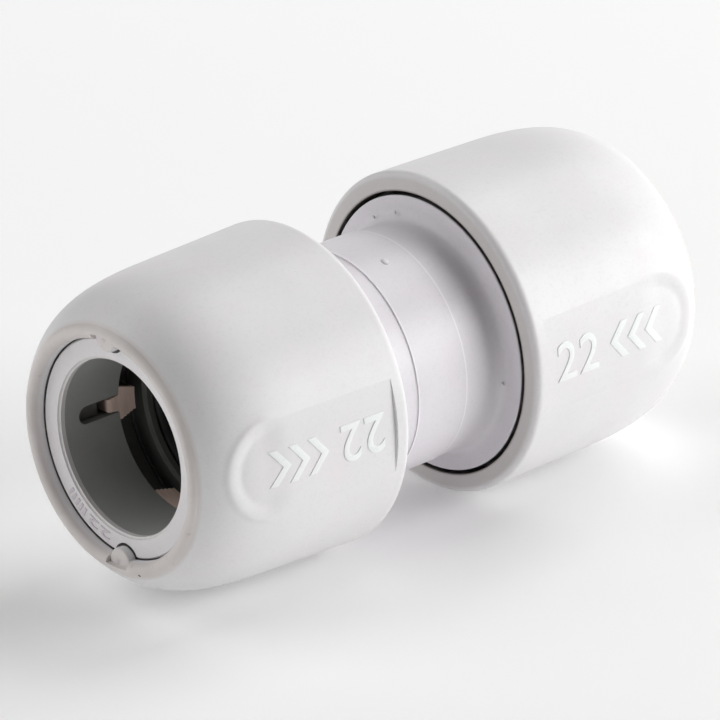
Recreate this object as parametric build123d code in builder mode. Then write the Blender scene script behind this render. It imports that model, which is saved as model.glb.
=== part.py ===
from build123d import *
import os
from math import cos, radians, sin, tan

# A straight push-fit coupler for 22 mm pipe. The bore lies along X and the origin is at its
# middle. One end is drawn pointing along +X and turned half a turn about Y for the other end.
# Distances along the bore are measured from the middle, and all sizes are in millimetres.

# Pipe socket
bore_radius = 11.15
waterway_radius = 10.0
pipe_stop_at = 12.6
seal_seat_at = 20.6
seal_seat_radius = 14.3
barrel_end_at = 25.2

# Outside of the body
waist_radius = 14.7
waist_half_length = 3.9
neck_radius = 14.53
neck_fillet = 1.8
flange_at = 10.0
flange_radius = 17.45
flange_rim_length = 2.4
barrel_radius = 17.8
catch_radius = 18.25
catch_back_at = 17.6
catch_top_at = 18.4
catch_ramp_at = 20.0

# Cap, outside
cap_back_at = 10.1
cap_back_radius = 20.37
cap_back_edge = 0.9
dome_start = (26.2, 19.99)
dome_start_handle = (33.5, 19.81)
dome_end_handle = (37.335, 18.854)
dome_end = (39.836, 15.818)
lip_center = (39.45, 14.95)
lip_half_width = 0.95

# Cap, inside
cap_skirt_radius = 17.9
skirt_chamfer = 0.1
catch_groove_radius = 18.35
catch_groove_margin = 0.15
cone_half_angle = 12.0
cone_front_at = 31.6
cone_front_radius = 13.25
cone_back_at = 25.3
cone_wall = 1.35
core_end_at = 35.0
core_inner_radius = 15.3
core_outer_radius = 17.0
guide_radius = 12.68
mouth_radius = 14.0
mouth_floor_at = 34.9

# Keying pegs in the mouth of the cap
peg_angle = 90.0
peg_circle_radius = 14.5
peg_radius = 1.85
peg_back_at = 34.6
peg_front_at = 39.75
peg_outer_limit = 15.3
notch_radius = 2.2
pocket_radius = 1.9
pocket_floor_at = 39.6
pocket_outer_limit = 15.05

# Flat marking pads on opposite sides of the cap
pad_floor_from_axis = 19.45
pad_half_width = 6.1
pad_back_at = 12.2
pad_round_center_at = 30.6

# Release collar
collar_radius = 13.92
collar_face_at = 38.7
collar_back_at = 36.4
collar_seat_at = 37.8
mouth_rounding = 0.3
collar_edge = 0.25

# Wedge carrier
carrier_radius = 12.6
carrier_end_at = 29.4
carrier_hook_radius = 13.05
carrier_hook_length = 1.5
carrier_hook_gap = 0.05
slot_width = 2.3
slot_end_at = 35.6

# Grab wedges
wedge_count = 5
keyed_wedges = (0, 2, 3)
first_wedge_angle = 0.0
wedge_back_at = 26.9
wedge_shoulder_at = 29.35
wedge_tip_at = 31.0
wedge_half_width = 2.15
wedge_back_half_width = 1.4
tongue_half_width = 1.05
tongue_tip_half_width = 0.8
wedge_cone_clearance = 0.06
tooth_tip_radius = 11.1
tooth_depth = 0.25
tooth_count = 8

# Seal and washer
seal_section_radius = 1.6
seal_center_radius = 12.67
seal_gap = 0.05
washer_inner_radius = 11.45
washer_outer_radius = 14.25
washer_back_at = 23.9
washer_front_at = 25.1
washer_chamfer = 0.4

cone_slope = tan(radians(cone_half_angle))


def cone_radius(at):
    """Radius of the cap's inner grip cone, which narrows towards the mouth."""
    return cone_front_radius + (cone_front_at - at) * cone_slope


def section_plane():
    """Half-section plane: first coordinate along the bore, second the radius."""
    return Plane.XZ


def make_body():
    """Waisted middle with a flange and a socket barrel at each end, in one moulding."""
    with BuildPart() as body:
        with BuildSketch(section_plane()):
            with BuildLine():
                waist = Polyline(
                    (0, waterway_radius),
                    (0, waist_radius),
                    (waist_half_length, waist_radius),
                    (waist_half_length, neck_radius),
                    (flange_at - neck_fillet, neck_radius),
                )
                RadiusArc(waist @ 1, (flange_at, neck_radius + neck_fillet), neck_fillet)
                Polyline(
                    (flange_at, neck_radius + neck_fillet),
                    (flange_at, flange_radius),
                    (flange_at + flange_rim_length, flange_radius),
                    (flange_at + flange_rim_length, barrel_radius),
                    (catch_back_at, barrel_radius),
                    (catch_back_at, catch_radius),
                    (catch_top_at, catch_radius),
                    (catch_ramp_at, barrel_radius),
                    (barrel_end_at, barrel_radius),
                    (barrel_end_at, seal_seat_radius),
                    (seal_seat_at, seal_seat_radius),
                    (seal_seat_at, bore_radius),
                    (pipe_stop_at, bore_radius),
                    (pipe_stop_at, waterway_radius),
                    (0, waterway_radius),
                )
            make_face()
            mirror(about=Plane.YZ)
        revolve(axis=Axis.X)
    return body


def make_cap():
    """Domed outer cap with the grip cone, the lip, two keying pegs and two marking pads."""
    lip_at, lip_radius = lip_center
    back_edge_at = cap_back_at + cap_back_edge
    with BuildPart() as cap:
        with BuildSketch(section_plane()):
            with BuildLine():
                Polyline(
                    (cap_back_at, cap_skirt_radius + skirt_chamfer),
                    (cap_back_at, cap_back_radius - cap_back_edge),
                )
                RadiusArc(
                    (cap_back_at, cap_back_radius - cap_back_edge),
                    (back_edge_at, cap_back_radius),
                    cap_back_edge,
                )
                Line((back_edge_at, cap_back_radius), dome_start)
                Bezier(dome_start, dome_start_handle, dome_end_handle, dome_end)
                ThreePointArc(
                    dome_end,
                    (lip_at + lip_half_width, lip_radius),
                    (lip_at, lip_radius - lip_half_width),
                )
                Polyline(
                    (lip_at, mouth_radius),
                    (mouth_floor_at, mouth_radius),
                    (mouth_floor_at, guide_radius),
                    (cone_front_at, guide_radius),
                    (cone_front_at, cone_front_radius),
                    (cone_back_at, cone_radius(cone_back_at)),
                    (cone_back_at, cone_radius(cone_back_at) + cone_wall),
                    (core_end_at, core_inner_radius),
                    (core_end_at, core_outer_radius),
                    (cone_back_at, cap_skirt_radius),
                    (catch_ramp_at + catch_groove_margin, cap_skirt_radius),
                    (catch_ramp_at + catch_groove_margin, catch_groove_radius),
                    (catch_back_at - catch_groove_margin, catch_groove_radius),
                    (catch_back_at - catch_groove_margin, cap_skirt_radius),
                    (cap_back_at + skirt_chamfer, cap_skirt_radius),
                    (cap_back_at, cap_skirt_radius + skirt_chamfer),
                )
            make_face()
        revolve(axis=Axis.X)
        # Shallow round pockets in the lip, each with a peg that stands in it
        with BuildSketch(Plane.YZ.offset(pocket_floor_at)):
            with PolarLocations(peg_circle_radius, 2, start_angle=peg_angle):
                Circle(pocket_radius)
            Circle(pocket_outer_limit, mode=Mode.INTERSECT)
        extrude(amount=cap_back_radius, mode=Mode.SUBTRACT)
        with BuildSketch(Plane.YZ.offset(peg_back_at)):
            with PolarLocations(peg_circle_radius, 2, start_angle=peg_angle):
                Circle(peg_radius)
            Circle(peg_outer_limit, mode=Mode.INTERSECT)
        extrude(amount=peg_front_at - peg_back_at)
        # Marking pads: a round-ended flat on each side, just inside the full-round back rim
        for side in (Plane.XZ, -Plane.XZ):
            with BuildSketch(side.offset(pad_floor_from_axis)):
                with Locations(((pad_back_at + pad_round_center_at) / 2 * side.x_dir.X, 0)):
                    Rectangle(pad_round_center_at - pad_back_at, 2 * pad_half_width)
                with Locations((pad_round_center_at * side.x_dir.X, 0)):
                    Circle(pad_half_width)
            extrude(amount=cap_back_radius, mode=Mode.SUBTRACT)
    return cap


def make_release_collar():
    """Pale ring in the mouth, pressed on the carrier, with two notches for the pegs."""
    with BuildPart() as collar:
        with BuildSketch(section_plane()):
            with BuildLine():
                Polyline(
                    (collar_face_at, bore_radius + mouth_rounding),
                    (collar_face_at, collar_radius - collar_edge),
                    (collar_face_at - collar_edge, collar_radius),
                    (collar_back_at, collar_radius),
                    (collar_back_at, carrier_radius),
                    (collar_seat_at, carrier_radius),
                    (collar_seat_at, bore_radius),
                    (collar_face_at - mouth_rounding, bore_radius),
                )
                RadiusArc(
                    (collar_face_at - mouth_rounding, bore_radius),
                    (collar_face_at, bore_radius + mouth_rounding),
                    mouth_rounding,
                )
            make_face()
        revolve(axis=Axis.X)
        with BuildSketch(Plane.YZ.offset(collar_back_at)):
            with PolarLocations(peg_circle_radius, 2, start_angle=peg_angle):
                Circle(notch_radius)
        extrude(amount=collar_face_at - collar_back_at, mode=Mode.SUBTRACT)
    return collar


def make_wedge_carrier():
    """Slotted tube that lines the mouth. A small hook rim keeps it behind the cap's guide."""
    hook_front_at = cone_front_at - carrier_hook_gap
    with BuildPart() as carrier:
        with BuildSketch(section_plane()):
            with BuildLine():
                Polyline(
                    (carrier_end_at, bore_radius),
                    (carrier_end_at, carrier_radius),
                    (hook_front_at - carrier_hook_length, carrier_hook_radius),
                    (hook_front_at, carrier_hook_radius),
                    (hook_front_at, carrier_radius),
                    (collar_seat_at, carrier_radius),
                    (collar_seat_at, bore_radius),
                    close=True,
                )
            make_face()
        revolve(axis=Axis.X)
        # One slot, round at its front end, cut outwards along +Z at each wedge that has a tongue
        slot_round_at = slot_end_at - slot_width / 2
        with BuildSketch() as slot:
            with Locations(((carrier_end_at + slot_round_at) / 2, 0)):
                Rectangle(slot_round_at - carrier_end_at, slot_width)
            with Locations((slot_round_at, 0)):
                Circle(slot_width / 2)
        for index in keyed_wedges:
            turn = first_wedge_angle + index * 360 / wedge_count - 90
            extrude(
                slot.sketch.rotate(Axis.X, turn),
                amount=cap_back_radius,
                dir=(0, -sin(radians(turn)), cos(radians(turn))),
                mode=Mode.SUBTRACT,
            )
    return carrier


def make_grab_wedge(front):
    """One toothed wedge, drawn on the +Z side. front is the half outline of its front end."""
    tooth_pitch = (wedge_tip_at - wedge_back_at) / tooth_count
    teeth = []
    for index in range(tooth_count):
        start = wedge_back_at + index * tooth_pitch
        teeth.append((start, tooth_tip_radius))
        teeth.append((start + tooth_pitch, tooth_tip_radius + tooth_depth))
    with BuildPart() as wedge:
        with BuildSketch(section_plane()):
            with BuildLine():
                Polyline(
                    *teeth,
                    (wedge_tip_at, cone_radius(wedge_tip_at) - wedge_cone_clearance),
                    (wedge_back_at, cone_radius(wedge_back_at) - wedge_cone_clearance),
                    close=True,
                )
            make_face()
        revolve(axis=Axis.X)
        with BuildSketch():
            with BuildLine():
                Polyline(
                    (wedge_back_at, 0),
                    (wedge_back_at, wedge_back_half_width),
                    (wedge_shoulder_at, wedge_half_width),
                    *front,
                )
                mirror(about=Plane.XZ)
            make_face()
        extrude(amount=cap_back_radius, mode=Mode.INTERSECT)
    return wedge


def make_seal_washer():
    """Flat ring between the wedges and the seal."""
    with BuildPart() as washer:
        with BuildSketch(section_plane()):
            with BuildLine():
                Polyline(
                    (washer_back_at, washer_inner_radius),
                    (washer_back_at, washer_outer_radius),
                    (washer_front_at, washer_outer_radius),
                    (washer_front_at, washer_inner_radius + washer_chamfer),
                    (washer_front_at - washer_chamfer, washer_inner_radius),
                    close=True,
                )
            make_face()
        revolve(axis=Axis.X)
    return washer


def make_o_ring():
    """Rubber seal, drawn at the size it has when a pipe squeezes it in its seat."""
    with BuildPart() as o_ring:
        with BuildSketch(section_plane()):
            with Locations((seal_seat_at + seal_gap + seal_section_radius, seal_center_radius)):
                Circle(seal_section_radius)
        revolve(axis=Axis.X)
    return o_ring


def save(part, name):
    """Label a finished piece and write it as one STEP file."""
    part.label = name
    export_step(part, f"parts/{name}.step")


os.makedirs("parts", exist_ok=True)

body = make_body()
save(body.part, "body")

end_pieces = {
    "cap": make_cap(),
    "release_collar": make_release_collar(),
    "wedge_carrier": make_wedge_carrier(),
    "seal_washer": make_seal_washer(),
    "o_ring": make_o_ring(),
}
# Three wedges of an end have a tongue in a slot of the carrier. The others end at its back edge.
keyed_wedge = make_grab_wedge(
    (
        (wedge_shoulder_at, tongue_half_width),
        (wedge_tip_at, tongue_tip_half_width),
        (wedge_tip_at, 0),
    )
)
plain_wedge = make_grab_wedge(((wedge_shoulder_at, 0),))

for end, half_turn in (("right", 0), ("left", 180)):
    for name, piece in end_pieces.items():
        save(piece.part.rotate(Axis.Y, half_turn), f"{end}_{name}")
    for index in range(wedge_count):
        turn = first_wedge_angle + index * 360 / wedge_count - 90
        grab_wedge = keyed_wedge if index in keyed_wedges else plain_wedge
        placed = grab_wedge.part.rotate(Axis.X, turn).rotate(Axis.Y, half_turn)
        save(placed, f"{end}_grab_wedge_{index + 1}")
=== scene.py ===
import math

import bmesh
import bpy
import numpy as np
from mathutils import Matrix, Vector


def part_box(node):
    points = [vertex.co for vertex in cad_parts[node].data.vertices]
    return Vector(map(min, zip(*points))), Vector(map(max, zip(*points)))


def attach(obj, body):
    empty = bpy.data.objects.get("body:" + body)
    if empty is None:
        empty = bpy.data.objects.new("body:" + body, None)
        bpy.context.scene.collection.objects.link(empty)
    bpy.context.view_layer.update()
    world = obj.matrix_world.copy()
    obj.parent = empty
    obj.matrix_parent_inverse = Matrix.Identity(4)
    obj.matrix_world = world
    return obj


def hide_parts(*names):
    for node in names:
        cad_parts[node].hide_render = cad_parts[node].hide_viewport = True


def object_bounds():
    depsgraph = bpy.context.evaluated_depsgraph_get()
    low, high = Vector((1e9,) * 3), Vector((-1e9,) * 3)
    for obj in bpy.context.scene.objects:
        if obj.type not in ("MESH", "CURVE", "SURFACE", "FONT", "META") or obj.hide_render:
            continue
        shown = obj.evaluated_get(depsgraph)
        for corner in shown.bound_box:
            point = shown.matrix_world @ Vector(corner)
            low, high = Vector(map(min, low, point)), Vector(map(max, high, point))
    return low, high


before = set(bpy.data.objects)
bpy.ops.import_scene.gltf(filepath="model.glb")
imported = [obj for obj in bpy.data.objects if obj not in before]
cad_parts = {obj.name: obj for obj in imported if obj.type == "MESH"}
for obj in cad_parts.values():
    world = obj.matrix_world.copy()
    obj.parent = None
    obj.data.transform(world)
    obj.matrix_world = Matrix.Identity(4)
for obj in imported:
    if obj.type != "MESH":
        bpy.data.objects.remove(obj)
cad_low, cad_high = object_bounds()

# Sizes are in millimetres, measured along the bore (X) from the middle and out from its axis.
# One end is drawn pointing along +X and turned half a turn about Y for the other end.
MM = 0.001
ENDS = {"right": 1.0, "left": -1.0}
WEDGES_PER_END = 5


def box_mm(node):
    """Lowest and highest corner of a CAD node, in millimetres."""
    low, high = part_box(node)
    return low / MM, high / MM


cap_low, cap_high = box_mm("right_cap")
collar_high = box_mm("right_release_collar")[1]
body_high = box_mm("body")[1]

cap_back_at = cap_low.x
cap_radius = min(cap_high.y, cap_high.z)
lip_front_at = cap_high.x
collar_face_at = collar_high.x
barrel_end_at = body_high.x

# ---------------------------------------------------------------------------------------
# Mesh tools
# ---------------------------------------------------------------------------------------

merge_distance_m = 2e-7
sharp_degrees = 32.0
body_turn_steps = 288
corner_steps = 8
# No rounding takes more than this share of a straight side.
most_of_side = 0.49


def object_from(name, points, faces, body):
    """A smooth-shaded mesh object from points in millimetres, riding on a CAD body."""
    mesh = bpy.data.meshes.new(name)
    mesh.from_pydata([tuple(p) for p in np.asarray(points) * MM], [], faces)
    work = bmesh.new()
    work.from_mesh(mesh)
    bmesh.ops.remove_doubles(work, verts=work.verts, dist=merge_distance_m)
    bmesh.ops.recalc_face_normals(work, faces=work.faces)
    work.to_mesh(mesh)
    work.free()
    mesh.shade_smooth()
    mesh.set_sharp_from_angle(angle=math.radians(sharp_degrees))
    piece = bpy.data.objects.new(name, mesh)
    bpy.context.scene.collection.objects.link(piece)
    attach(piece, body)
    return piece


def at_end(points, end):
    """Points drawn for the right end, turned half a turn about Y for the left one."""
    return np.asarray(points) * (ENDS[end], 1.0, ENDS[end])


def ring_faces(rows, columns):
    """Quads of a grid that closes on itself both ways."""
    faces = []
    for row in range(rows):
        below = (row + 1) % rows
        for column in range(columns):
            after = (column + 1) % columns
            faces.append(
                (
                    row * columns + column,
                    row * columns + after,
                    below * columns + after,
                    below * columns + column,
                )
            )
    return faces


def turn_points(at, radius, angles):
    """Points of an outline turned about X. at and radius are rows by columns."""
    return np.stack([at, radius * np.cos(angles), radius * np.sin(angles)], -1).reshape(-1, 3)


def spread(outline, angles):
    """Places along the bore and radii of an outline, repeated at every angle."""
    outline = np.array(outline)
    return outline[:, :1] + 0 * angles, outline[:, 1:] + 0 * angles


def full_turn(steps):
    return np.linspace(0, 2 * math.pi, steps, endpoint=False)[None, :]


def turned(name, outline, steps, body):
    """A closed outline of (along the bore, radius) points turned about X."""
    angles = full_turn(steps)
    at, radius = spread(outline, angles)
    points = turn_points(at, radius, angles)
    return object_from(name, points, ring_faces(len(outline), steps), body)


def arc(center, radius, start_degrees, end_degrees, steps):
    """Points on a round stretch of an outline."""
    angles = np.radians(np.linspace(start_degrees, end_degrees, steps))
    return [(center[0] + radius * math.cos(a), center[1] + radius * math.sin(a)) for a in angles]


def line(start, end, step):
    """Evenly spaced points of a straight stretch, without its last point."""
    count = max(1, round(math.dist(start, end) / step))
    return [
        (start[0] + (end[0] - start[0]) * i / count, start[1] + (end[1] - start[1]) * i / count)
        for i in range(count)
    ]


def bezier(points, steps):
    """Points of a cubic curve, without its last point."""
    p = np.array(points, float)
    t = np.linspace(0, 1, steps, endpoint=False)[:, None]
    curve = (
        (1 - t) ** 3 * p[0]
        + 3 * (1 - t) ** 2 * t * p[1]
        + 3 * (1 - t) * t**2 * p[2]
        + t**3 * p[3]
    )
    return [tuple(q) for q in curve]


def rounded(corners, steps):
    """Closed outline from (along, radius, rounding) corners, each one rounded by an arc."""
    outline = []
    count = len(corners)
    for index, (x, y, rounding) in enumerate(corners):
        corner = np.array((x, y))
        before = np.array(corners[index - 1][:2]) - corner
        after = np.array(corners[(index + 1) % count][:2]) - corner
        before_length = np.hypot(*before)
        after_length = np.hypot(*after)
        before = before / before_length
        after = after / after_length
        half_angle = math.acos(np.clip(before @ after, -1, 1)) / 2
        room = most_of_side * min(before_length, after_length)
        setback = min(rounding / math.tan(half_angle), room)
        start = corner + before * setback
        end = corner + after * setback
        for i in range(steps + 1):
            t = i / steps
            outline.append(tuple((1 - t) ** 2 * start + 2 * t * (1 - t) * corner + t * t * end))
    return outline


def smooth(value):
    """Smooth step from 0 to 1."""
    t = np.clip(value, 0, 1)
    return t * t * (3 - 2 * t)


# ---------------------------------------------------------------------------------------
# Materials
# ---------------------------------------------------------------------------------------

cap_color = (0.83, 0.82, 0.825)
lip_colors = ((0.66, 0.61, 0.585), (0.75, 0.70, 0.68))
scuff_color = (0.34, 0.26, 0.20)
# Painted shade on the cap's back face, darker at its inner edge beside the gap to the flange
rim_shade_color = (0.45, 0.40, 0.37)
rim_edge_shade_color = (0.20, 0.15, 0.12)
# Painted shade on the cone and guide bore deep inside the cap
cone_shade_color = (0.20, 0.20, 0.19)
body_color = (0.80, 0.775, 0.81)
# Painted shade inside the body's sockets
socket_shade_color = (0.17, 0.17, 0.16)
# Painted highlight on the edges of the waist
waist_highlight_color = (0.96, 0.94, 0.97)
collar_color = (0.84, 0.82, 0.83)
collar_edge_color = (0.78, 0.73, 0.72)
mark_color = (0.90, 0.93, 0.92)
number_color = (0.70, 0.66, 0.70)
carrier_color = (0.42, 0.43, 0.415)
carrier_shade = (0.19, 0.19, 0.185)
wedge_color = (0.86, 0.66, 0.57)
wedge_line_color = (0.62, 0.43, 0.36)
wedge_shade = (0.10, 0.075, 0.065)
washer_color = (0.16, 0.165, 0.155)
rubber_colors = ((0.012, 0.012, 0.013), (0.03, 0.03, 0.032))
speck_colors = ((0.03, 0.022, 0.018), (0.08, 0.05, 0.035))
floor_colors = ((0.93, 0.93, 0.93), (0.95, 0.95, 0.95))
# Colour of the painted shade in gaps and on hidden insides
painted_shade_color = (0.035, 0.03, 0.027)

# Where a tint fades in, in millimetres: none at the first number, all of it at the second.
# "at" is along the bore from the middle, and "out" is from the axis.
lip_tint_at = (39.386, 39.836)
rim_shade_out, rim_shade_at = (20.0, 19.5), (10.35, 10.2)
rim_edge_shade_out, rim_edge_shade_at = (18.25, 18.0), (10.4, 10.3)
cone_shade_out, cone_shade_at = (15.0, 14.7), (36.5, 36.0)
# Painted shade on the skirt's inside and on the lip's inner wall behind the ring
skirt_shade_out, skirt_shade_at = (18.05, 17.92), (25.0, 24.5)
mouth_shade_out, mouth_shade_front, mouth_shade_deep = (14.5, 14.2), (38.78, 38.68), (37.5, 38.3)
# Painted shade on the body in the gap under the caps
gap_shade_out, gap_shade_at = (17.3, 17.4), (10.1, 10.25)
socket_shade_out, socket_shade_at = (14.45, 14.4), (24.8, 24.9)
waist_highlight_from_at, waist_highlight_to_at, waist_highlight_out = (3.66, 3.76), (3.97, 3.93), (14.6, 14.65)
collar_edge_out = (11.7, 11.35)
# Painted shade on the ring's side, in the gap round it
collar_side_shade_out, collar_side_shade_at = (13.78, 13.88), (38.6, 38.4)
carrier_shade_out = (11.9, 12.5)
wedge_shade_out = (11.45, 11.9)

# The middle of a noise texture's range, which a cloud is spread over
cloud_span = (0.3, 0.7)


class Nodes:
    """A new node material with helpers that keep the graphs short."""

    def __init__(self, name):
        self.material = bpy.data.materials.new(name)
        self.material.use_nodes = True
        self.tree = self.material.node_tree
        self.shader = self.tree.nodes["Principled BSDF"]
        self.place = self.tree.nodes.new("ShaderNodeTexCoord").outputs["Object"]

    def link(self, source, target):
        self.tree.links.new(source, target)

    def noise(self, scale, detail=3.0, roughness=0.55, stretch=None):
        node = self.tree.nodes.new("ShaderNodeTexNoise")
        node.inputs["Scale"].default_value = scale
        node.inputs["Detail"].default_value = detail
        node.inputs["Roughness"].default_value = roughness
        if stretch:
            mapping = self.tree.nodes.new("ShaderNodeMapping")
            mapping.inputs["Scale"].default_value = stretch
            self.link(self.place, mapping.inputs["Vector"])
            self.link(mapping.outputs["Vector"], node.inputs["Vector"])
        else:
            self.link(self.place, node.inputs["Vector"])
        return node.outputs["Fac"]

    def remap(self, source, low, high, to_low, to_high):
        node = self.tree.nodes.new("ShaderNodeMapRange")
        node.inputs["From Min"].default_value = low
        node.inputs["From Max"].default_value = high
        node.inputs["To Min"].default_value = to_low
        node.inputs["To Max"].default_value = to_high
        self.link(source, node.inputs["Value"])
        return node.outputs["Result"]

    def math(self, operation, first, second=None):
        node = self.tree.nodes.new("ShaderNodeMath")
        node.operation = operation
        for socket, value in zip(node.inputs, (first, second)):
            if value is None:
                continue
            if isinstance(value, (int, float)):
                socket.default_value = value
            else:
                self.link(value, socket)
        return node.outputs["Value"]

    def fade(self, source, span, share=1.0):
        """0 where source is at the first number of span, share where it is at the second."""
        return self.remap(source, span[0], span[1], 0, share)

    def times(self, first, second):
        return self.math("MULTIPLY", first, second)

    def mix(self, factor, first, second):
        node = self.tree.nodes.new("ShaderNodeMix")
        node.data_type = "RGBA"
        self.link(factor, node.inputs["Factor"])
        for socket, value in ((node.inputs[6], first), (node.inputs[7], second)):
            if isinstance(value, tuple):
                socket.default_value = (*value, 1.0)
            else:
                self.link(value, socket)
        return node.outputs[2]

    def along_bore(self):
        """Distance from the middle of the coupler along its bore, in millimetres."""
        node = self.tree.nodes.new("ShaderNodeSeparateXYZ")
        self.link(self.place, node.inputs["Vector"])
        return self.times(self.math("ABSOLUTE", node.outputs["X"]), 1 / MM)

    def from_axis(self):
        """Distance from the axis of the bore, in millimetres."""
        node = self.tree.nodes.new("ShaderNodeSeparateXYZ")
        self.link(self.place, node.inputs["Vector"])
        squares = [self.times(node.outputs[c], node.outputs[c]) for c in "YZ"]
        return self.times(self.math("SQRT", self.math("ADD", *squares)), 1 / MM)

    def bump(self, height, distance_mm, strength=1.0, under=None):
        node = self.tree.nodes.new("ShaderNodeBump")
        node.inputs["Strength"].default_value = strength
        node.inputs["Distance"].default_value = distance_mm * MM
        self.link(height, node.inputs["Height"])
        if under:
            self.link(under, node.inputs["Normal"])
        return node.outputs["Normal"]


def moulded_plastic(name, color, roughness, mottling=0.02):
    """Satin injection-moulded plastic: fine grain, faint flow mottling, uneven gloss."""
    n = Nodes(name)
    grain_mm = 0.012
    cloud = n.noise(55, detail=4)
    fleck = n.noise(900, detail=2)
    speckle = n.noise(2300, detail=2, roughness=0.7)
    dark = tuple(c * (1 - 2.2 * mottling) for c in color)
    light = tuple(min(1.0, c * (1 + mottling)) for c in color)
    base = n.mix(n.fade(cloud, cloud_span), dark, light)
    blush = (color[0], color[1] * 0.955, color[2] * 0.965)
    base = n.mix(n.fade(n.noise(130, detail=5, roughness=0.7), (0.5, 0.72), 0.75), base, blush)
    fleck_color = tuple(c * 0.95 for c in color)
    base = n.mix(n.fade(fleck, (0.58, 0.8), 0.6), base, fleck_color)
    speckle_color = tuple(c * 0.91 for c in color)
    base = n.mix(n.fade(speckle, (0.52, 0.75), 0.6), base, speckle_color)
    n.link(base, n.shader.inputs["Base Color"])
    gloss = n.noise(260, detail=5, roughness=0.65)
    spread_of_gloss = n.remap(gloss, *cloud_span, roughness - 0.06, roughness + 0.07)
    n.link(spread_of_gloss, n.shader.inputs["Roughness"])
    ripple = n.bump(n.noise(420, detail=3), grain_mm * 1.6, 0.5)
    grain = n.bump(n.noise(4200, detail=2), grain_mm, 0.6, ripple)
    n.link(grain, n.shader.inputs["Normal"])
    return n, base


def painted_shade(n, base, mask, color=painted_shade_color):
    """Painted shade: a darker colour where mask is 1, with an uneven strength."""
    uneven = n.remap(n.noise(700, detail=4), *cloud_span, 0.85, 1)
    n.link(n.mix(n.times(mask, uneven), base, color), n.shader.inputs["Base Color"])


def cap_material():
    """White cap with a warmer, duller lip, faint brown scuffs, and painted shade on its back
    face and its hidden insides.
    """
    n, base = moulded_plastic("cap_white_plastic", cap_color, 0.42)
    at, out = n.along_bore(), n.from_axis()
    on_lip = n.fade(at, lip_tint_at)
    lip_color = n.mix(n.fade(n.noise(170, detail=4), (0.35, 0.7)), *lip_colors)
    base = n.mix(n.times(on_lip, 0.85), base, lip_color)
    scuff = n.fade(n.noise(520, detail=5, roughness=0.7), (0.64, 0.73), 0.4)
    base = n.mix(n.times(scuff, on_lip), base, scuff_color)
    # Painted shade on the cap's back face, and darker painted shade at its inner edge beside the
    # gap
    rim = n.times(n.fade(out, rim_shade_out, 0.42), n.fade(at, rim_shade_at))
    base = n.mix(rim, base, rim_shade_color)
    rim_edge = n.times(n.fade(out, rim_edge_shade_out, 0.6), n.fade(at, rim_edge_shade_at))
    base = n.mix(rim_edge, base, rim_edge_shade_color)
    # Painted shade on the cone and guide bore deep inside the cap
    cone = n.times(n.fade(out, cone_shade_out), n.fade(at, cone_shade_at))
    base = n.mix(cone, base, cone_shade_color)
    # Painted shade on the skirt's inside, and on the lip's inner wall just behind the ring's
    # face
    skirt = n.times(n.fade(out, skirt_shade_out), n.fade(at, skirt_shade_at))
    mouth = n.times(n.fade(out, mouth_shade_out), n.fade(at, mouth_shade_front))
    mouth = n.times(mouth, n.fade(at, mouth_shade_deep))
    painted_shade(n, base, n.math("MAXIMUM", skirt, mouth))
    return n.material


def body_material():
    """Pale lavender body, with a painted highlight on the edges of its waist, and painted shade
    inside its sockets and under the caps.
    """
    n, base = moulded_plastic("body_lavender_plastic", body_color, 0.4, mottling=0.015)
    at, out = n.along_bore(), n.from_axis()
    # Painted shade on the flange rims and barrels, in the gap under the caps
    in_gap = n.times(n.fade(out, gap_shade_out), n.fade(at, gap_shade_at))
    # Painted shade inside the sockets
    socket = n.math("MAXIMUM", n.fade(out, socket_shade_out), n.fade(at, socket_shade_at))
    base = n.mix(socket, base, socket_shade_color)
    # Painted highlight: a light line along each edge of the waist
    waist_highlight = n.times(n.fade(at, waist_highlight_from_at), n.fade(at, waist_highlight_to_at))
    base = n.mix(n.times(waist_highlight, n.fade(out, waist_highlight_out, 0.75)), base, waist_highlight_color)
    painted_shade(n, base, in_gap)
    return n.material


def collar_material():
    """White ring with a faint warm mouth edge, and painted shade on its side in the gap round
    it.
    """
    n, base = moulded_plastic("collar_white_plastic", collar_color, 0.38, mottling=0.012)
    at, out = n.along_bore(), n.from_axis()
    base = n.mix(n.fade(out, collar_edge_out, 0.4), base, collar_edge_color)
    # Painted shade on the ring's side, in the gap round it
    painted_shade(n, base, n.times(n.fade(out, collar_side_shade_out), n.fade(at, collar_side_shade_at)))
    return n.material


def mark_material():
    """Smoother, whiter plastic of the raised marks on the pads."""
    return moulded_plastic("mark_white_plastic", mark_color, 0.32, mottling=0.008)[0].material


def number_material():
    """Greyer, duller plastic of the marks on the ring and of the small pips."""
    return moulded_plastic("number_grey_plastic", number_color, 0.45)[0].material


def carrier_material():
    """Mid-grey tube, darker on its outside, which lies in shade."""
    n, base = moulded_plastic("carrier_grey_plastic", carrier_color, 0.42, mottling=0.03)
    painted_shade(n, base, n.fade(n.from_axis(), carrier_shade_out), carrier_shade)
    return n.material


def wedge_material():
    """Cream wedge with fine moulding lines, and painted shade where it lies behind the carrier.
    """
    n, base = moulded_plastic("wedge_cream_plastic", wedge_color, 0.45, mottling=0.05)
    lines = n.noise(700, detail=2, stretch=(2.2, 0.3, 0.3))
    base = n.mix(n.fade(lines, (0.45, 0.65), 0.5), base, wedge_line_color)
    painted_shade(n, base, n.fade(n.from_axis(), wedge_shade_out), wedge_shade)
    return n.material


def washer_material():
    """Dark grey plastic of the ring behind the wedges."""
    return moulded_plastic("washer_grey_plastic", washer_color, 0.5, mottling=0.05)[0].material


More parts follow.
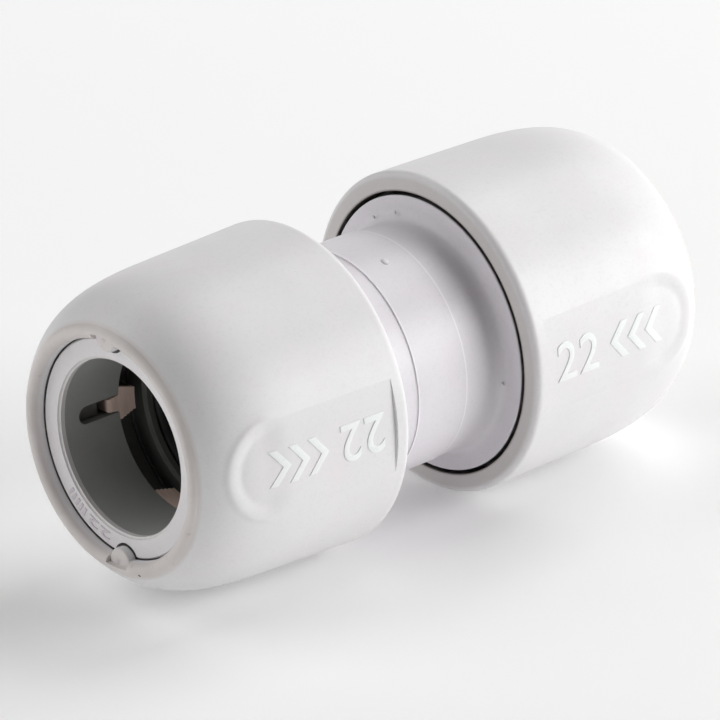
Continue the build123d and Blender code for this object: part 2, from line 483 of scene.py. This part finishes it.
def rubber_material():
    """Greased black rubber with a fine, uneven moulding texture."""
    n = Nodes("seal_black_rubber")
    cloud = n.noise(300, detail=4)
    n.link(n.mix(n.fade(cloud, cloud_span), *rubber_colors), n.shader.inputs["Base Color"])
    n.link(n.remap(cloud, *cloud_span, 0.35, 0.6), n.shader.inputs["Roughness"])
    n.link(n.bump(n.noise(2600, detail=3), 0.02, 0.6), n.shader.inputs["Normal"])
    return n.material


def speck_material():
    """Dark brown colour of a small speck."""
    n = Nodes("speck_brown")
    cloud = n.noise(1500, detail=3)
    n.link(n.mix(n.fade(cloud, cloud_span), *speck_colors), n.shader.inputs["Base Color"])
    n.link(n.remap(cloud, *cloud_span, 0.5, 0.7), n.shader.inputs["Roughness"])
    n.link(n.bump(cloud, 0.02, 0.5), n.shader.inputs["Normal"])
    return n.material


def paint(piece, material):
    piece.data.materials.clear()
    piece.data.materials.append(material)


# ---------------------------------------------------------------------------------------
# Cap: dome, lip, marking pads and pegs
# ---------------------------------------------------------------------------------------

# Points of the outline are (along the bore, radius).
back_edge = 0.9
dome_start = (26.2, 19.99)
dome_start_handle = (33.5, 19.81)
dome_end_handle = (37.335, 18.854)
dome_end = (39.836, 15.818)
lip_radius = 14.95
lip_half_width = 0.95
lip_crease_degrees = 66
lip_at = lip_front_at - lip_half_width
mouth_radius = lip_radius - lip_half_width
mouth_floor_at = 34.9
guide_radius = 12.68
cone_front = (31.6, 13.25)
cone_back = (25.3, 14.589)
cone_wall = 1.35
core_end_at = 35.0
core_radii = (15.3, 17.0)
skirt_radius = 17.9
skirt_chamfer = 0.1
catch_groove = (17.45, 20.15, 18.35)
dome_steps = 64
lip_steps = 40
back_edge_steps = 7
skirt_step = 0.3
ring_wall_step = 0.05
deep_wall_step = 0.6
rim_step = 0.5

peg_circle_radius = 14.5
peg_radius = 1.85
peg_front_at = 39.75
peg_back_at = 34.6
peg_outer_limit = 15.3
pocket_radius = 1.9
pocket_floor_at = 39.6
pocket_outer_limit = 14.8
peg_rounding = 0.3
peg_turn_steps = 64
# Distance in front of peg_front_at, and from the peg's own middle: a dimple, then the flat
peg_face = ((-0.22, 0.0), (-0.2, 0.16), (-0.06, 0.36), (0.0, 0.46), (0.02, 1.0))

pad_half_width = 6.1
pad_back_at = 12.2
pad_round_at = 30.6
pad_floor_at_back = 19.42
pad_floor_slope = -0.0283
pad_depth_share = 0.42
dish_depth = 0.45
dish_wall = 1.7
dish_from_at = 27.0
dish_fade_length = 5.0
ridge_height = 0.11
ridge_width = 0.42
ridge_outside_edge = 0.3
pad_edge_blend = 0.5
pad_step_length = 0.05
pad_step_reach = 0.03

# Angles round the cap, in degrees: its usual step, and finer steps at the pegs and pad edges
cap_angle_step = 0.75
peg_angle_reach, peg_angle_step = 10.0, 0.2
pad_edge_from, pad_edge_to, pad_edge_step = 13.0, 19.0, 0.25
last_included = 0.01


def taper_radius(at):
    """Outer radius of the slightly tapered skirt of the cap."""
    start = cap_back_at + back_edge
    share = (at - start) / (dome_start[0] - start)
    return cap_radius + (dome_start[1] - cap_radius) * share


def cap_outline():
    """Closed outline of the cap's section, and how many of its points are on the outside."""
    back_edge_at = cap_back_at + back_edge
    before_pad = (pad_back_at - pad_step_reach, taper_radius(pad_back_at))
    after_pad = (pad_back_at + pad_step_reach, taper_radius(pad_back_at))
    edge_center = (back_edge_at, cap_radius - back_edge)
    outside = arc(edge_center, back_edge, 180, 90, back_edge_steps)[:-1]
    outside += line((back_edge_at, cap_radius), before_pad, skirt_step)
    outside += line(before_pad, after_pad, 2 * pad_step_reach)
    outside += line(after_pad, dome_start, skirt_step)
    outside += bezier((dome_start, dome_start_handle, dome_end_handle, dome_end), dome_steps)
    lip = arc((lip_at, lip_radius), lip_half_width, lip_crease_degrees, -90, lip_steps)
    ring_front = (collar_face_at, mouth_radius)
    inside = line((lip_at, mouth_radius), ring_front, ring_wall_step)[1:]
    inside += line(ring_front, (mouth_floor_at, mouth_radius), deep_wall_step)
    groove_back_at, groove_front_at, groove_radius = catch_groove
    rim_inner_edge = (cap_back_at, skirt_radius + skirt_chamfer)
    inside += [
        (mouth_floor_at, mouth_radius),
        (mouth_floor_at, guide_radius),
        (cone_front[0], guide_radius),
        cone_front,
        cone_back,
        (cone_back[0], cone_back[1] + cone_wall),
        (core_end_at, core_radii[0]),
        (core_end_at, core_radii[1]),
        (cone_back[0], skirt_radius),
        (groove_front_at, skirt_radius),
        (groove_front_at, groove_radius),
        (groove_back_at, groove_radius),
        (groove_back_at, skirt_radius),
        (cap_back_at + skirt_chamfer, skirt_radius),
        rim_inner_edge,
    ]
    inside += line(rim_inner_edge, (cap_back_at, cap_radius - back_edge), rim_step)[1:]
    return outside + lip + inside, len(outside)


def cap_angles():
    """Angles round the cap, closer together where the pegs and the pad edges are."""
    angles = set(np.round(np.arange(0, 360, cap_angle_step), 3))
    for middle in (90, 270):
        near = np.arange(-peg_angle_reach, peg_angle_reach + last_included, peg_angle_step)
        angles |= set(np.round(middle + near, 3))
    for middle in (0, 180):
        for side in (-1, 1):
            edge = np.arange(pad_edge_from, pad_edge_to + last_included, pad_edge_step)
            angles |= set(np.round((middle + side * edge) % 360, 3))
    return np.radians(np.array(sorted(angles)))


def pad_depth(at, radius, angles):
    """How far the outside sinks at a marking pad, and where the soft ridge round it rises."""
    from_pad = np.abs((angles + math.pi / 2) % math.pi - math.pi / 2)
    across = radius * np.sin(from_pad)
    beyond = np.maximum(at - pad_round_at, 0)
    inside = pad_half_width - np.hypot(beyond, across)
    past_step = smooth((at - pad_back_at) / pad_step_length + 0.5)
    floor = pad_floor_at_back + pad_floor_slope * (at - pad_back_at)
    flat = pad_depth_share * np.maximum(radius - floor / np.cos(from_pad), 0)
    flat *= smooth(inside / pad_edge_blend + 0.5)
    front = smooth((at - dish_from_at) / dish_fade_length)
    dish = dish_depth * smooth(inside / dish_wall) * front
    off_ridge = (inside + ridge_outside_edge) / ridge_width
    return np.hypot(flat, dish) * past_step - ridge_height * np.exp(-(off_ridge**2)) * front


def pocket_half_angle(radius):
    """Half the angle that the round pocket of a peg spans at a radius."""
    c = (radius**2 + peg_circle_radius**2 - pocket_radius**2) / (2 * radius * peg_circle_radius)
    return np.arccos(np.clip(c, -1, 1))


def make_cap(end):
    """The domed shell, with its pads sunk and the pegs' pockets cut back into the lip."""
    outline, outside_count = cap_outline()
    angles = cap_angles()[None, :]
    at, radius = spread(outline, angles)
    outside = slice(0, outside_count)
    radius[outside] -= pad_depth(at[outside], radius[outside], angles)
    from_peg = np.abs(angles % math.pi - math.pi / 2) + 0 * radius
    in_pocket = (from_peg < pocket_half_angle(radius)) & (radius < pocket_outer_limit)
    in_pocket &= at > pocket_floor_at
    in_pocket[outside] = False
    at[in_pocket] = pocket_floor_at
    points = at_end(turn_points(at, radius, angles), end)
    faces = ring_faces(len(outline), angles.shape[1])
    cap = object_from(f"{end}_cap_shell", points, faces, "coupler")
    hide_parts(f"{end}_cap")
    return cap


def make_peg(end, angle_degrees, name):
    """Round peg with a dimpled face, standing in its pocket in the lip."""
    outline = [(peg_front_at + rise, out) for rise, out in peg_face]
    edge_center = (peg_front_at - peg_rounding, peg_radius - peg_rounding)
    outline += arc(edge_center, peg_rounding, 0, 90, 6)
    outline += [(peg_back_at, peg_radius), (peg_back_at, 0.0)]
    angles = full_turn(peg_turn_steps)
    at, from_middle = spread(outline, angles)
    out = np.minimum(peg_circle_radius + from_middle * np.cos(angles), peg_outer_limit)
    across = from_middle * np.sin(angles)
    turn = math.radians(angle_degrees)
    y = out * math.cos(turn) - across * math.sin(turn)
    z = out * math.sin(turn) + across * math.cos(turn)
    points = at_end(np.stack([at, y, z], -1).reshape(-1, 3), end)
    faces = ring_faces(len(outline), peg_turn_steps)[: (len(outline) - 1) * peg_turn_steps]
    return object_from(name, points, faces, "coupler")


# ---------------------------------------------------------------------------------------
# Body: waist, flanges and barrels
# ---------------------------------------------------------------------------------------

waist_radius = 14.7
waist_half_length = 3.9
neck_radius = 14.53
neck_fillet = 1.8
flange_at = 10.0
flange_radius = 17.45
flange_end_at = flange_at + 2.4
catch_ridge_height = 0.45
catch_ridge_at = (17.6, 18.4, 20.0)
barrel_radius = body_high.z - catch_ridge_height
seal_seat_at, seal_seat_radius = 20.6, 14.3
pipe_stop_at, pilot_radius, waterway_radius = 12.6, 11.15, 10.0


def make_body():
    """The middle moulding, from (along the bore, radius, rounding) corners of its right half."""
    half = [
        (waist_half_length, waist_radius, 0.07),
        (waist_half_length, neck_radius, 0.05),
        (flange_at, neck_radius, neck_fillet),
        (flange_at, flange_radius, 0.25),
        (flange_end_at, flange_radius, 0.05),
        (flange_end_at, barrel_radius, 0.1),
        (catch_ridge_at[0], barrel_radius, 0.05),
        (catch_ridge_at[0], body_high.z, 0.08),
        (catch_ridge_at[1], body_high.z, 0.1),
        (catch_ridge_at[2], barrel_radius, 0.1),
        (barrel_end_at, barrel_radius, 0.3),
        (barrel_end_at, seal_seat_radius, 0.2),
        (seal_seat_at, seal_seat_radius, 0.2),
        (seal_seat_at, pilot_radius, 0.35),
        (pipe_stop_at, pilot_radius, 0.1),
        (pipe_stop_at, waterway_radius, 0.2),
    ]
    corners = half + [(-x, r, rounding) for x, r, rounding in reversed(half)]
    outline = rounded(corners, corner_steps)
    body = turned("body_shell", outline, body_turn_steps, "coupler")
    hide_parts("body")
    return body


# ---------------------------------------------------------------------------------------
# Raised marks: a size number with arrows on each pad, and a number on the ring
# ---------------------------------------------------------------------------------------

pipe_size = "22"
# Half a mark's thickness before it is scaled to its height, and what its bevel adds
shape_half_thickness = 0.1
bevel_share = 0.4
bevel_steps = 2
mark_height = 0.1
mark_number_box = (13.9, 20.6, -2.5, 2.5)
arrow_tips_at = (22.6, 25.5, 28.4)
arrow_half_height = 2.3
arrow_length = 1.9
arrow_thickness = 1.05
ring_number_angles = (77, 58)
ring_tick_angles = (54, 50.5, 47, 43.5, 40)
ring_number_radii = (11.98, 13.14)
ring_number_height = 0.12
tick_half_angle = 1.0
# Height of each row of a tick's corners, and how far it is drawn in, in degrees
tick_rows = ((-1.0, 0.0), (0.4, 0.0), (1.0, 0.22))
tick_radial_share = 0.3
font_size, font_offset, font_spacing = 7.0, 0.02, 1.08


def curve_mesh(curve):
    """Vertices, from -1 to 1 in thickness, and faces of a filled and rounded curve."""
    curve.extrude = shape_half_thickness
    curve.bevel_depth = shape_half_thickness * bevel_share
    curve.bevel_resolution = bevel_steps
    maker = bpy.data.objects.new("maker", curve)
    bpy.context.scene.collection.objects.link(maker)
    bpy.context.view_layer.update()
    evaluated = maker.evaluated_get(bpy.context.evaluated_depsgraph_get())
    mesh = evaluated.to_mesh()
    points = np.array([v.co[:] for v in mesh.vertices])
    faces = [tuple(f.vertices) for f in mesh.polygons]
    evaluated.to_mesh_clear()
    bpy.data.objects.remove(maker)
    bpy.data.curves.remove(curve)
    points[:, 2] /= shape_half_thickness * (1 + bevel_share)
    return points, faces


def number_shape(box):
    """The pipe size, filled and rounded, fitted in the box (low u, high u, low v, high v)."""
    curve = bpy.data.curves.new("number", "FONT")
    curve.body = pipe_size
    curve.size = font_size
    curve.offset = font_offset
    curve.space_character = font_spacing
    points, faces = curve_mesh(curve)
    low, high = points[:, :2].min(0), points[:, :2].max(0)
    points[:, :2] = (points[:, :2] - low) / (high - low)
    points[:, 0] = box[0] + points[:, 0] * (box[1] - box[0])
    points[:, 1] = box[2] + points[:, 1] * (box[3] - box[2])
    return points, faces


def arrow_shape(tip_at):
    """A V-shaped arrow that points to the middle of the coupler."""
    curve = bpy.data.curves.new("arrow", "CURVE")
    curve.dimensions = "2D"
    curve.fill_mode = "BOTH"
    spline = curve.splines.new("POLY")
    back, side = tip_at + arrow_length, arrow_half_height
    outline = [(tip_at, 0), (back, -side), (back + arrow_thickness, -side)]
    outline += [(tip_at + arrow_thickness, 0), (back + arrow_thickness, side), (back, side)]
    spline.points.add(len(outline) - 1)
    for point, (u, v) in zip(spline.points, outline):
        point.co = (u, v, 0, 1)
    spline.use_cyclic_u = True
    return curve_mesh(curve)


def tick_shape(angle):
    """A short bar across the ring's face, as (angle, radius, height) corners and faces."""
    points = []
    for height, inset in tick_rows:
        side = tick_half_angle - inset
        inner = ring_number_radii[0] + inset * tick_radial_share
        outer = ring_number_radii[1] - inset * tick_radial_share
        points += [(angle + side, inner, height), (angle + side, outer, height)]
        points += [(angle - side, outer, height), (angle - side, inner, height)]
    faces = []
    for row in (0, 4):
        for corner in range(4):
            after = (corner + 1) % 4
            faces.append((row + corner, row + after, row + 4 + after, row + 4 + corner))
    return np.array(points), faces + [(0, 1, 2, 3), (8, 9, 10, 11)]


def on_pad(points, side):
    """Points (u along the bore, v across, w from -1 to 1) laid on the pad at -Y or +Y."""
    outline, outside_count = cap_outline()
    outside = np.array(outline[:outside_count])
    u, v, w = points.T
    radius = np.interp(u, outside[:, 0], outside[:, 1])
    angles = np.arcsin(v / radius)
    radius = radius - pad_depth(u, radius, angles) + w * mark_height
    y = -radius * np.cos(angles)
    z = radius * np.sin(angles)
    return np.stack([u, side * y, side * z], -1)


def make_pad_marks(end):
    """The pipe size and three arrows, raised on both pads of a cap."""
    for side_name, side in (("near", 1), ("far", -1)):
        shapes = [("size_number", number_shape(mark_number_box))]
        for number, tip_at in enumerate(arrow_tips_at):
            shapes.append((f"arrow_{number + 1}", arrow_shape(tip_at)))
        for name, (points, faces) in shapes:
            placed = at_end(on_pad(points, side), end)
            full_name = f"{end}_{side_name}_{name}"
            mark = object_from(full_name, placed, faces, "coupler")
            paint(mark, materials["mark"])


def make_ring_marks(end):
    """The pipe size and a row of ticks, raised on the face of the release collar."""
    shapes = [("size_number", number_shape((*ring_number_angles, *ring_number_radii)))]
    for number, angle in enumerate(ring_tick_angles):
        shapes.append((f"tick_{number + 1}", tick_shape(angle)))
    for name, (points, faces) in shapes:
        angles = np.radians(points[:, 0])
        at = collar_face_at + points[:, 2] * ring_number_height
        placed = at_end(turn_points(at, points[:, 1], angles), end)
        full_name = f"{end}_ring_{name}"
        mark = object_from(full_name, placed, faces, f"{end}_release")
        paint(mark, materials["number"])


# ---------------------------------------------------------------------------------------
# Small moulding marks
# ---------------------------------------------------------------------------------------

pip_rows, pip_columns = 5, 16
pip_unevenness, pip_uneven_turn = 0.12, 0.7
pip_foot_depth = 0.08
gate_mark_degrees = 111
gate_mark_radius, gate_mark_height = 0.55, 0.16
# Radius and angle of each pip on the flange's face
flange_pips = ((15.39, 59.8), (15.43, 76.1), (14.86, -169.7))
flange_pip_at = flange_at - 0.55
flange_pip_radius, flange_pip_height = 0.24, 0.1
speck_degrees = -105.75
speck_lean_degrees = 31
speck_radius, speck_height = 0.19, 0.025


def make_pip(name, center, normal, radius, height, slot, material):
    """Small low dome of a gate mark, moulding pip or speck on a surface."""
    normal = Vector(normal).normalized()
    across = normal.orthogonal().normalized()
    other = normal.cross(across)
    points, faces = [], []
    for row in range(pip_rows):
        lean = math.pi / 2 * row / pip_rows
        rise = height * math.sin(lean) - (pip_foot_depth if row == 0 else 0)
        for column in range(pip_columns):
            a = 2 * math.pi * column / pip_columns
            uneven = 1 + pip_unevenness * math.sin(2 * a + pip_uneven_turn)
            out = radius * math.cos(lean) * uneven
            place = across * out * math.cos(a) + other * out * math.sin(a) + normal * rise
            points.append(Vector(center) + place)
    points.append(Vector(center) + normal * height)
    for row in range(pip_rows - 1):
        low, high = row * pip_columns, (row + 1) * pip_columns
        for column in range(pip_columns):
            after = (column + 1) % pip_columns
            faces.append((low + column, low + after, high + after, high + column))
    top = (pip_rows - 1) * pip_columns
    peak = pip_rows * pip_columns
    faces += [(top + c, top + (c + 1) % pip_columns, peak) for c in range(pip_columns)]
    faces.append(tuple(reversed(range(pip_columns))))
    paint(object_from(name, points, faces, "coupler"), material)


def around(at, radius, degrees):
    """A point at a distance along the bore, a radius and an angle from +Y towards +Z."""
    a = math.radians(degrees)
    return (at, radius * math.cos(a), radius * math.sin(a))


def make_small_marks():
    """The gate mark on the waist, three pips on a flange and a speck on the left lip."""
    place = around(0, waist_radius, gate_mark_degrees)
    out = around(0, 1, gate_mark_degrees)
    size = (gate_mark_radius, gate_mark_height)
    make_pip("body_gate_mark", place, out, *size, "body_plastic", materials["body"])
    size = (flange_pip_radius, flange_pip_height)
    for number, (radius, degrees) in enumerate(flange_pips):
        place = around(flange_pip_at, radius, degrees)
        name = f"flange_pip_{number + 1}"
        make_pip(name, place, (-1, 0, 0), *size, "body_plastic", materials["number"])
    lean = math.radians(speck_lean_degrees)
    place_at = lip_at + lip_half_width * math.cos(lean)
    place_radius = lip_radius + lip_half_width * math.sin(lean)
    place = around(-place_at, place_radius, speck_degrees)
    out = around(-math.cos(lean), math.sin(lean), speck_degrees)
    size = (speck_radius, speck_height)
    make_pip("left_lip_speck", place, out, *size, "cap_plastic", materials["speck"])


# ---------------------------------------------------------------------------------------
# Build
# ---------------------------------------------------------------------------------------

materials = {
    "cap": cap_material(),
    "body": body_material(),
    "collar": collar_material(),
    "mark": mark_material(),
    "number": number_material(),
    "carrier": carrier_material(),
    "wedge": wedge_material(),
    "washer": washer_material(),
    "rubber": rubber_material(),
    "speck": speck_material(),
}

paint(make_body(), materials["body"])
for end in ENDS:
    paint(make_cap(end), materials["cap"])
    for place, angle in (("upper", 90), ("lower", -90)):
        paint(make_peg(end, angle * ENDS[end], f"{end}_{place}_key_peg"), materials["cap"])
    make_pad_marks(end)
    make_ring_marks(end)
    paint(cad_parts[f"{end}_release_collar"], materials["collar"])
    paint(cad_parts[f"{end}_wedge_carrier"], materials["carrier"])
    paint(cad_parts[f"{end}_seal_washer"], materials["washer"])
    paint(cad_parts[f"{end}_o_ring"], materials["rubber"])
    for number in range(1, WEDGES_PER_END + 1):
        paint(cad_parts[f"{end}_grab_wedge_{number}"], materials["wedge"])
make_small_marks()

# ---------------------------------------------------------------------------------------
# Floor, light and camera
# ---------------------------------------------------------------------------------------

view_azimuth = -41.125
view_elevation = 25.582
# The coupler lies turned a little about its bore, which puts its marking pads on -Y and +Y.
roll_about_bore = 5.0
view_distance = 1.6508
view_shift = (-0.000378, -0.000440)
lens_mm = 681.8
view_depth = (0.1, 20)

floor_corners = ((-1, -1), (1, -1), (1, 1), (-1, 1))
floor_size = 6.0
floor_roughness = 0.9
floor_glow = 0.12

light_distance = 1.0
light_size = 0.7
# Azimuth and elevation in degrees, and power in watts
lights = [
    (45, 12, 9.9),
    (90, 12, 0.9),
    (135, 12, 1.4),
    (225, 12, 1.6),
    (270, 12, 1.4),
    (90, 48, 4.2),
    (180, 48, 1.1),
    (225, 48, 2.5),
]


def towards(azimuth, elevation):
    """Direction from the coupler, with azimuth 0 on -Y and 90 on +X."""
    a, e = math.radians(azimuth), math.radians(elevation)
    return Vector((math.sin(a) * math.cos(e), -math.cos(a) * math.cos(e), math.sin(e)))


def view_axes():
    """Directions to the right of, above and towards the camera."""
    a = math.radians(view_azimuth)
    back = towards(view_azimuth, view_elevation)
    right = Vector((math.cos(a), math.sin(a), 0))
    spin = Matrix.Rotation(math.radians(roll_about_bore), 3, "X")
    return spin @ right, spin @ back.cross(right), spin @ back


def make_camera():
    """A long lens from the front left, turned with the coupler's lie."""
    right, up, back = view_axes()
    data = bpy.data.cameras.new("camera")
    data.lens = lens_mm
    data.clip_start, data.clip_end = view_depth
    camera = bpy.data.objects.new("camera", data)
    bpy.context.scene.collection.objects.link(camera)
    camera.location = back * view_distance + right * view_shift[0] + up * view_shift[1]
    camera.rotation_euler = Matrix((right, up, back)).transposed().to_euler()
    bpy.context.scene.camera = camera


def make_floor():
    """Plain pale floor, whose faint glow makes up for the black world."""
    mesh = bpy.data.meshes.new("floor")
    corners = [(x * floor_size, y * floor_size, cad_low.z) for x, y in floor_corners]
    mesh.from_pydata(corners, [], [(0, 1, 2, 3)])
    floor = bpy.data.objects.new("floor", mesh)
    bpy.context.scene.collection.objects.link(floor)
    n = Nodes("pale_floor")
    base = n.mix(n.fade(n.noise(3, detail=2), cloud_span), *floor_colors)
    n.link(base, n.shader.inputs["Base Color"])
    n.shader.inputs["Roughness"].default_value = floor_roughness
    n.shader.inputs["Emission Color"].default_value = (1.0, 1.0, 1.0, 1.0)
    n.shader.inputs["Emission Strength"].default_value = floor_glow
    floor.data.materials.append(n.material)


def area_light(name, direction, power):
    """Soft square light that shines at the coupler from a direction."""
    data = bpy.data.lights.new(name, "AREA")
    data.size = light_size
    data.energy = power
    light = bpy.data.objects.new(name, data)
    bpy.context.scene.collection.objects.link(light)
    light.location = direction * light_distance
    light.rotation_euler = direction.to_track_quat("Z", "Y").to_euler()


def make_light():
    """Soft lights round the coupler, strongest from the front right and from above."""
    world = bpy.data.worlds.new("studio")
    world.use_nodes = True
    world.node_tree.nodes["Background"].inputs["Color"].default_value = (0.0, 0.0, 0.0, 1)
    bpy.context.scene.world = world
    for number, (azimuth, elevation, power) in enumerate(lights):
        area_light(f"soft_light_{number + 1}", towards(azimuth, elevation), power)
    bpy.context.scene.view_settings.view_transform = "Standard"


make_camera()
make_floor()
make_light()
